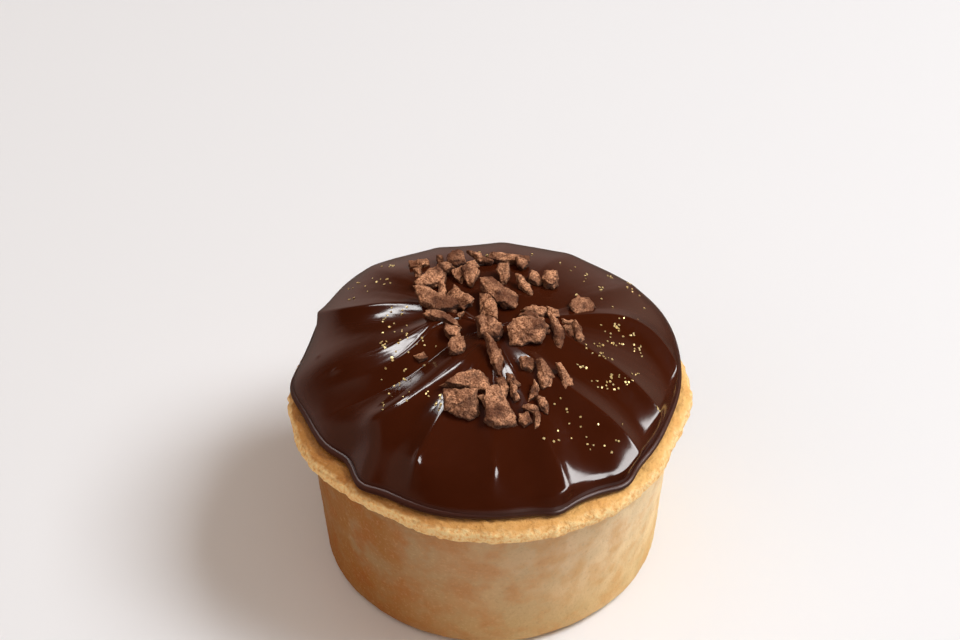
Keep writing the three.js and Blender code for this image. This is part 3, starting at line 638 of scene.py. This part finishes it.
def flake_material():
    """Dull, powdery broken chocolate, with painted shade in its hollows and on its sides."""
    material, add = new_material("flakes")
    coordinates = add("ShaderNodeTexCoord").outputs
    place = coordinates["Object"]
    facing = add("ShaderNodeSeparateXYZ", {"Vector": coordinates["Normal"]}).outputs["Z"]
    broad = noise_node(add, place, 3.0, 2.0, 0.5)
    grain = noise_node(add, place, 0.24, 2.0, 0.6)
    lumps = noise_node(add, place, 0.9, 2.0, 0.6)
    # painted shade: the sides, which face less upwards, turn darker
    side = map_range(add, facing, 0.8, 0.2)
    colour = between(add, mask(add, grain, 0.3, 0.7), FLAKE_GRAIN)
    colour = mix(add, mask(add, broad, 0.4, 0.62, 0, 0.85), colour, linear(*FLAKE_BROWN))
    # painted shade in the hollows of the lumps that also make the bump
    colour = mix(add, mask(add, lumps, 0.34, 0.46, 0.55, 0), colour, linear(*FLAKE_PAINTED_HOLLOW_SHADE))
    colour = mix(add, mix(add, side, grey(0), grey(0.75)), colour, linear(*FLAKE_PAINTED_SIDE_SHADE))
    normal = bump(add, grain, 0.2, 0.8, bump(add, lumps, 0.5, 0.8))
    finish_material(add, colour, 0.85, normal, Specular_IOR_Level=0.2)
    return material


def gold_material():
    """Bright gold leaf."""
    material, add = new_material("gold")
    place = add("ShaderNodeTexCoord").outputs["Object"]
    shade = noise_node(add, place, 1.5, 1.0, 0.5)
    finish_material(add, between(add, shade, GOLD_COLOURS), 0.4, None, Metallic=0.5)
    return material


# ---- pastry shell ----
def cup_wall_radius(z):
    """Radius of the cup's outside at a height; the wall widens upwards."""
    return BASE_RADIUS + (WALL_TOP_RADIUS - BASE_RADIUS) * (z - BASE_CORNER) / (UNDER_RIM - BASE_CORNER)


def arc(centre, radius, start, end, steps):
    """Points of an arc in the section plane; angles in degrees from the outward direction."""
    turns = np.radians(np.linspace(start, end, steps))
    return np.stack([centre[0] + radius * np.cos(turns), centre[1] + radius * np.sin(turns)], -1)


def cup_section():
    """[radius, height] and share of the rim's waves along the cup's section."""
    parts = []

    def add(points, share):
        points = np.atleast_2d(points)
        parts.append(np.column_stack([points, np.broadcast_to(share, len(points))]))

    def level(radii, height):
        return np.stack([radii, np.full(len(radii), height)], -1)

    add(level(np.linspace(2, BASE_RADIUS - BASE_CORNER, 14)[:-1], 0.0), 0)
    add(arc((BASE_RADIUS - BASE_CORNER, BASE_CORNER), BASE_CORNER, -90, 0, 10), 0)
    heights = np.linspace(BASE_CORNER, UNDER_RIM - 1.0, 78)[1:]
    add(np.stack([cup_wall_radius(heights), heights], -1), 0)
    corner = (cup_wall_radius(UNDER_RIM) + RIM_FILLET, UNDER_RIM - RIM_FILLET)
    add(arc(corner, RIM_FILLET, 180, 90, 6)[1:], np.linspace(0.05, 0.3, 5))
    add([(WALL_TOP_RADIUS + 1.6, UNDER_RIM + 0.05), (WALL_TOP_RADIUS + 2.0, UNDER_RIM + 0.02)], (0.7, 0.9))
    corner = (RIM_RADIUS - RIM_ROUNDING, UNDER_RIM + RIM_ROUNDING)
    add(arc(corner, RIM_ROUNDING, -90, 0, 7), 1)
    heights = np.linspace(UNDER_RIM + RIM_ROUNDING, RIM_TOP - RIM_SHOULDER, 6)[1:-1]
    add(np.stack([np.full(len(heights), RIM_RADIUS), heights], -1), 1)
    corner = (RIM_RADIUS - RIM_SHOULDER, RIM_TOP - RIM_SHOULDER)
    add(arc(corner, RIM_SHOULDER, 0, 90, 13), 1)
    inner = WALL_TOP_RADIUS - WALL_THICKNESS
    radii = np.linspace(RIM_RADIUS - RIM_SHOULDER, inner + INNER_DROP, 20)[1:]
    add(level(radii, RIM_TOP), np.linspace(1, 0, len(radii)))
    foot = cup_wall_radius(WALL_THICKNESS) - WALL_THICKNESS
    add([(inner, RIM_TOP - INNER_DROP), (foot, 2 * WALL_THICKNESS)], 0)
    add([(foot - WALL_THICKNESS, WALL_THICKNESS)], 0)
    return np.concatenate(parts)


def make_shell(material):
    """The baked cup: its section carried round, with the rim's waves, lumps, crumbs and pits."""
    section = cup_section()
    degrees = np.arange(SHELL_COLUMNS) * 360 / SHELL_COLUMNS
    height = section[:, 1:2]
    radius = section[:, :1] + section[:, 2:] * waves(RIM_WAVES, degrees)[None]
    angle = np.radians(degrees)[None]
    rings = np.stack(
        [radius * np.cos(angle), radius * np.sin(angle), np.repeat(height, SHELL_COLUMNS, 1)], -1
    )
    normals = ring_normals(rings)
    flat = rings.reshape(-1, 3)
    outside = smoothstep(section[:, :1], 22, 24) * (height > 0.05)
    rim = outside * smoothstep(height, UNDER_RIM - 0.3, UNDER_RIM + 0.4)
    rough = np.zeros(radius.shape)
    for size, everywhere, more_on_rim, seed, octaves in SHELL_LUMPS:
        rough += noise(flat, size, seed, octaves).reshape(radius.shape) * (everywhere + more_on_rim * rim)
    pits = noise(flat, PIT_SIZE, 21, 2).reshape(radius.shape)
    rough -= PIT_DEPTH * np.clip(pits - PITS_ABOVE, 0, 1)
    shown = outside * smoothstep(section[:, :1], 24.2, 25.2)
    rings = rings + normals * (rough * shown)[..., None]
    mesh = mesh_of_rings("tart_shell", (0, 0, 0), rings, (0, 0, WALL_THICKNESS))
    add_piece("tart_shell", mesh, material, "pastry", "pastry_shell")


# ---- glaze dome ----
def fold_angle(fold, share):
    """The crest's angle, on the smooth curve through its stations."""
    angles = FOLDS[fold % len(FOLDS)][0]
    lap = 360 * (fold // len(FOLDS))
    share = np.maximum(share, STRAIGHT_WITHIN)
    total = np.full_like(share, lap)
    for own, angle in zip(STATIONS, angles):
        weight = np.ones_like(share)
        for other in STATIONS:
            if other != own:
                weight = weight * (share - other) / (own - other)
        total = total + weight * angle
    return total


def bead_out(degrees):
    """How far the lip stands out from the dome's foot."""
    return BEAD_OUT + waves(LIP_WAVES, degrees)


def dome_edge(degrees):
    """Radius of the dome's foot."""
    return GLAZE_RADIUS - bead_out(degrees) + waves(SCALLOPS, degrees)


def dome_base(share):
    """Height of the dome without its folds, at a share of its radius."""
    fullness = np.maximum(1 - np.abs(share) ** DOME_FLATNESS, 0) ** DOME_POWER
    return RIM_TOP + GAP + DOME_FOOT + DOME_RISE * fullness


def flank(distance, gap, width, softness):
    """Height share of a fold at a distance from its crest; nothing is left at the next crest."""
    here = np.exp(-(np.hypot(distance, softness) - softness) / width)
    there = np.exp(-(np.hypot(gap, softness) - softness) / width)
    return np.maximum(here - there, 0) / (1 - there)


def dome_points(share, fold, fraction):
    """Points of the dome at shares of its radius and at fractions of the way from a fold to the next."""
    before = fold_angle(fold, share)
    after = fold_angle(fold + 1, share)
    degrees = before + (after - before) * fraction
    edge = dome_edge(degrees)
    arm = np.maximum(edge * share, 1.0) * math.pi / 180
    _, height_before, _, width_before, soft_before, sink_before = FOLDS[fold]
    _, height_after, width_after, _, soft_after, sink_after = FOLDS[(fold + 1) % len(FOLDS)]
    gap = (after - before) * arm
    height_before = height_before * smoothstep(1 - share, 0, sink_before)
    height_after = height_after * smoothstep(1 - share, 0, sink_after)
    height = height_before * flank((degrees - before) * arm, gap, width_before, soft_before)
    height = height + height_after * flank((after - degrees) * arm, gap, width_after, soft_after)
    grown = np.minimum(share / FOLDS_FROM, 1)
    grown = grown * (FOLDS_IN_MIDDLE + (1 - FOLDS_IN_MIDDLE) * smoothstep(share, *FOLDS_GROW))
    height = height * grown
    step = 0.001
    slope = (dome_base(np.maximum(share - step, 0)) - dome_base(share)) / (step * edge)
    lean = np.minimum(slope, STEEPEST)
    stand = np.hypot(1, lean)
    radius = edge * share + CREST_LEAN * height * lean / stand
    angle = np.radians(degrees)
    return np.stack([radius * np.cos(angle), radius * np.sin(angle), dome_base(share) + height / stand], -1)


def dome_ring(share):
    """A ring of points round the dome."""
    even = np.arange(DOME_COLUMNS) / DOME_COLUMNS
    parts = [dome_points(np.full(DOME_COLUMNS, share), fold, even) for fold in range(len(FOLDS))]
    return np.concatenate(parts)


def wrinkles(dome):
    """Height of the fine wrinkles of the glaze, which fade out in the middle and at the edge."""
    reach = np.hypot(dome[..., 0], dome[..., 1])
    angle = np.arctan2(dome[..., 1], dome[..., 0])
    across = GLAZE_RADIUS / WRINKLE_WIDTH
    places = np.stack([across * np.cos(angle), across * np.sin(angle), reach / WRINKLE_LENGTH], -1)
    depth = noise(places.reshape(-1, 3), 1.0, 60, 2).reshape(reach.shape)
    fade = smoothstep(reach, *WRINKLES_FADE_IN) * smoothstep(reach, *WRINKLES_FADE_OUT)
    return WRINKLE_DEPTH * depth * fade


def nubs(dome):
    """Height of the small beads."""
    total = np.zeros(dome.shape[:2])
    for x, y, height, half_width, half_length in NUBS:
        outward = np.array((x, y)) / math.hypot(x, y)
        away = dome[..., :2] - (x, y)
        along = away @ outward / half_length
        side = (away[..., 0] * outward[1] - away[..., 1] * outward[0]) / half_width
        total += height * np.exp(-(along**2) - side**2)
    return total


def make_glaze(material):
    """The folded dome, the round lip below it and the chocolate in the cup, as one closed mesh."""
    turns = np.linspace(0, math.pi / 2, DOME_ROWS + 1)[1:]
    dome = np.stack([dome_ring(math.sin(turn)) for turn in turns])
    dome[..., 2] += wrinkles(dome) + nubs(dome)
    edge = dome[-1]
    radius = np.hypot(edge[:, 0], edge[:, 1])
    angle = np.arctan2(edge[:, 1], edge[:, 0])
    under = RIM_TOP + GAP

    def ring(at_radius, z):
        spread = np.broadcast_to(at_radius, radius.shape)
        height = np.broadcast_to(z, radius.shape)
        return np.stack([spread * np.cos(angle), spread * np.sin(angle), height], -1)

    lip = []
    out = bead_out(np.degrees(angle))
    start = np.arccos(np.clip(1 - out / BEAD_RADIUS, -0.1, 1))
    for step in np.linspace(0, 1, 18):
        turn = start + (-math.pi / 2 - start) * step
        bead = radius + out - BEAD_RADIUS + BEAD_RADIUS * np.cos(turn)
        lip.append(ring(bead, under + BEAD_RADIUS + BEAD_RADIUS * np.sin(turn)))
    plug_top = cup_wall_radius(UNDER_RIM) - WALL_THICKNESS - GAP
    plug_foot = cup_wall_radius(WALL_THICKNESS) - 2 * WALL_THICKNESS - GAP
    floor = WALL_THICKNESS + GAP
    plug = [
        ring(plug_top, under),
        ring(plug_foot + WALL_THICKNESS, floor + WALL_THICKNESS),
        ring(plug_foot, floor),
    ]
    rings = np.concatenate([dome, np.stack(lip + plug)])[::-1]
    mesh = mesh_of_rings("glaze_dome", (0, 0, floor), rings, (0, 0, dome_base(0)))
    add_piece("glaze_dome", mesh, material, "chocolate_glaze", "chocolate_filling")


# ---- flakes ----
def flake_rings(thickness, corners, depth, seed):
    """The flake's own outline at four levels with uneven edges, in mm, and the tops of its two faces."""
    own = np.array(corners)
    middle = own.mean(axis=0)
    reach = own[:, 1].max() - own[:, 1].min()
    sides = max(1 - FLAKE_SIDE_SHARE * thickness / reach, FLAKE_LEAST_DEPTH)
    flat = (own - middle) * FLAKE_SIZE * np.array((1, depth * sides))
    corner = np.arange(len(own))
    rings = []
    for row, (level, size) in enumerate(FLAKE_LEVELS):
        spread = size * (1 + FLAKE_UNEVEN * scatter(seed + 3, corner + 9 * row))
        z = thickness * (level + FLAKE_WAVY * scatter(seed + 5, corner + 5 * row))
        rings.append(np.column_stack([flat * spread[:, None], z]))
    peak = FLAKE_PEAK * flat[0]
    low = np.array((0.0, 0.0, FLAKE_FACES[0] * thickness))
    high = np.array((peak[0], peak[1], FLAKE_FACES[1] * thickness))
    return np.stack(rings), low, high


def refine(rings, start, end, around, between):
    """Rings with straight steps added around and between them, closing in on the two ends."""
    wide = np.concatenate([rings, rings[:, :1]], 1)
    steps = (np.arange(around) / around)[None, None, :, None]
    filled = wide[:, :-1, None] * (1 - steps) + wide[:, 1:, None] * steps
    filled = filled.reshape(len(rings), -1, 3)
    columns = filled.shape[1]
    first = np.broadcast_to(start, (1, columns, 3))
    last = np.broadcast_to(end, (1, columns, 3))
    stack = np.concatenate([first, filled, last])
    rows = []
    for low, high in zip(stack[:-1], stack[1:]):
        for step in range(between):
            t = step / between
            rows.append(low * (1 - t) + high * t)
    return np.stack(rows[1:])


def flake_frame(x, y, to_front, to_right):
    """How a flake is turned on the dome, and how much shorter it is along its depth than it looks."""
    share = math.hypot(x, y) / GLAZE_RADIUS
    step = 0.01
    slope = (dome_base(share - step) - dome_base(share + step)) / (2 * step * GLAZE_RADIUS)
    outward = math.atan2(y, x)
    normal = Vector((slope * math.cos(outward), slope * math.sin(outward), 1)).normalized()
    on_dome = Vector((0, 0, 1)).rotation_difference(normal).to_matrix()
    lean = Matrix.Rotation(math.radians(to_front), 3, "X") @ Matrix.Rotation(math.radians(to_right), 3, "Y")
    turned = on_dome @ lean
    view = Vector((0, -math.cos(FLAKE_VIEW), math.sin(FLAKE_VIEW)))
    depth = normal.dot(view) / turned.col[2].dot(view)
    return turned, depth, float(dome_base(share))


def make_flakes(material):
    """All flakes as one piece, each a closed slab with broken faces and edges."""
    all_points = []
    all_faces = []
    offset = 0
    for seed, (thickness, lift, to_front, to_right, corners) in enumerate(FLAKES):
        x, y = np.mean(corners, axis=0)
        turned, depth, z = flake_frame(x, y, to_front, to_right)
        rings, start, end = flake_rings(thickness, corners, depth, seed)
        around = int(np.clip(np.ptp(rings[1], axis=0).max() * FLAKE_STEPS_PER_MM, *FLAKE_STEPS_AROUND))
        rings = refine(rings, start, end, around, FLAKE_STEPS_BETWEEN)
        rows, columns = rings.shape[:2]
        points = np.concatenate([[start], rings.reshape(-1, 3), [end]])
        rough = sum(noise(points + 50 * seed, size, own, 2) * height for size, height, own in FLAKE_LUMPS)
        out = points / np.maximum(np.linalg.norm(points, axis=1, keepdims=True), 1e-6)
        points = points + out * rough[:, None]
        points = points @ np.array(turned).T + np.array((x, y, z + FLAKE_RAISED + lift))
        column = np.arange(columns)
        after = (column + 1) % columns
        row = np.arange(rows - 1)[:, None] * columns + 1
        quads = np.stack([row + column, row + columns + column, row + columns + after, row + after], -1)
        last = 1 + (rows - 1) * columns
        fans = np.stack([np.zeros_like(column), 1 + column, 1 + after], -1).tolist()
        fans += np.stack([last + after, last + column, np.full_like(column, len(points) - 1)], -1).tolist()
        all_faces += [[v + offset for v in f] for f in quads.reshape(-1, 4).tolist() + fans]
        all_points.append(points)
        offset += len(points)
    mesh = bpy.data.meshes.new("chocolate_flakes")
    mesh.from_pydata((np.concatenate(all_points) * MM).tolist(), [], all_faces)
    mesh.validate()
    mesh.shade_smooth()
    add_piece("chocolate_flakes", mesh, material, "chocolate_flakes", "chocolate_filling")


# ---- gold specks ----
def dome_height(x, y):
    """The point of the glaze above a point of the base, and the way it faces."""
    degrees = math.degrees(math.atan2(y, x)) % 360
    share = min(math.hypot(x, y) / float(dome_edge(degrees)), 0.99)
    crests = [float(fold_angle(fold, np.array(share))) for fold in range(len(FOLDS) + 1)]
    if degrees < crests[0]:
        degrees += 360
    if degrees >= crests[-1]:
        degrees -= 360
    fold = max(k for k in range(len(FOLDS)) if crests[k] <= degrees)
    fraction = (degrees - crests[fold]) / (crests[fold + 1] - crests[fold])

    def at(s, f):
        return dome_points(np.array([s]), fold, np.array([f]))[0]

    here = at(share, fraction)
    along = at(share + 0.004, fraction) - here
    around = at(share, fraction + 0.01) - here
    normal = np.cross(along, around)
    return here, normal / np.linalg.norm(normal)


def speck(points, faces, centre, facing, size, random):
    """Add one flat crumb of gold leaf."""
    side = facing.orthogonal().normalized()
    other = facing.cross(side)
    first = len(points)
    for level in (-SPECK_HALF_THICKNESS, SPECK_HALF_THICKNESS):
        for k in range(SPECK_CORNERS):
            angle = 2 * math.pi * k / SPECK_CORNERS
            reach = size * random.uniform(*SPECK_REACH)
            out = side * (reach * math.cos(angle)) + other * (reach * math.sin(angle))
            points.append(tuple((centre + out + facing * level) * MM))
    faces.append([first + k for k in range(SPECK_CORNERS)][::-1])
    faces.append([first + SPECK_CORNERS + k for k in range(SPECK_CORNERS)])
    for k in range(SPECK_CORNERS):
        low = first + k
        after = first + (k + 1) % SPECK_CORNERS
        faces.append([low, after, after + SPECK_CORNERS, low + SPECK_CORNERS])


def make_gold(material):
    """All gold specks as one piece, spread over their patches and partly in clumps."""
    random = np.random.default_rng(GOLD_SEED)
    points = []
    faces = []
    for x, y, half_width, half_depth, count in GOLD_PATCHES:
        px, py = x, y
        for _ in range(count):
            if random.random() < GOLD_IN_CLUMPS:
                px += random.normal(0, GOLD_CLUMP)
                py += random.normal(0, GOLD_CLUMP)
            else:
                px = x + half_width * random.uniform(-1, 1)
                py = y + half_depth * random.uniform(-1, 1)
            if math.hypot(px, py) > GOLD_WITHIN:
                continue
            place, normal = dome_height(px, py)
            facing = Vector(normal + random.normal(0, GOLD_TILT, 3)).normalized()
            centre = Vector(place + normal * GOLD_LIFT)
            speck(points, faces, centre, facing, random.uniform(*GOLD_SIZE), random)
    mesh = bpy.data.meshes.new("gold_dust")
    mesh.from_pydata(points, [], faces)
    mesh.validate()
    add_piece("gold_dust", mesh, material, "gold_dust")


# ---- floor and light ----
def make_floor():
    """A plain pale floor that the gloss doesn't mirror."""
    mesh = bpy.data.meshes.new("floor")
    half = FLOOR_HALF
    corners = [(-half, -half, 0), (half, -half, 0), (half, half, 0), (-half, half, 0)]
    mesh.from_pydata(corners, [], [(0, 1, 2, 3)])
    floor = bpy.data.objects.new("floor", mesh)
    bpy.context.scene.collection.objects.link(floor)
    material, add = new_material("floor")
    finish_material(add, FLOOR_COLOUR, 0.6, None, Specular_IOR_Level=0.2)
    mesh.materials.append(material)
    floor.visible_glossy = False


def towards(add, direction, way, start, end):
    """A number that rises the nearer a direction comes to another."""
    nearness = add("ShaderNodeVectorMath", {0: direction, 1: way}, operation="DOT_PRODUCT").outputs["Value"]
    return map_range(add, nearness, start, end)


def make_world():
    """A dim room with a brighter, warm band low behind the tart, and a soft glow to its left and right."""
    world = bpy.data.worlds.new("room")
    bpy.context.scene.world = world
    world.use_nodes = True
    world.node_tree.nodes.clear()
    add = node_maker(world)
    direction = add("ShaderNodeTexCoord").outputs["Generated"]
    height = add("ShaderNodeSeparateXYZ", {"Vector": direction}).outputs["Z"]
    colour = ramp(add, map_range(add, height, -1, 1), *ROOM_BY_HEIGHT)
    behind = towards(add, direction, BRIGHT_WAY, 0.2, 0.85)
    colour = mix(add, 1.0, colour, mix(add, behind, DIM_SHARE, grey(1)), "MULTIPLY")
    for way, start, end, glow in GLOWS:
        colour = mix(add, towards(add, direction, way, start, end), colour, glow)
    shader = add("ShaderNodeBackground", {"Color": colour, "Strength": 1.0})
    add("ShaderNodeOutputWorld", {"Surface": shader.outputs[0]})


def make_lights():
    """A broad key that casts the soft shadow, a warm fill, and the bright shapes that the glaze mirrors."""
    for name, azimuth, elevation, distance, width, height, radiance, colour, kind in LIGHTS:
        data = bpy.data.lights.new(name, "AREA")
        data.shape = "RECTANGLE"
        data.size = width
        data.size_y = height
        data.energy = radiance * math.pi * width * height
        data.color = colour
        light = bpy.data.objects.new(name, data)
        bpy.context.scene.collection.objects.link(light)
        a = math.radians(azimuth)
        e = math.radians(elevation)
        away = Vector((math.cos(a) * math.cos(e), math.sin(a) * math.cos(e), math.sin(e)))
        light.location = away * distance + Vector(LIGHTS_AIM)
        light.rotation_mode = "QUATERNION"
        light.rotation_quaternion = (-away).to_track_quat("-Z", "Y")
        light.visible_glossy = kind == "gloss"
        light.visible_diffuse = kind == "rest"


make_camera()
make_world()
make_lights()
make_floor()
make_shell(pastry_material())
make_glaze(glaze_material())
make_flakes(flake_material())
make_gold(gold_material())

bpy.context.scene.view_settings.view_transform = "Standard"
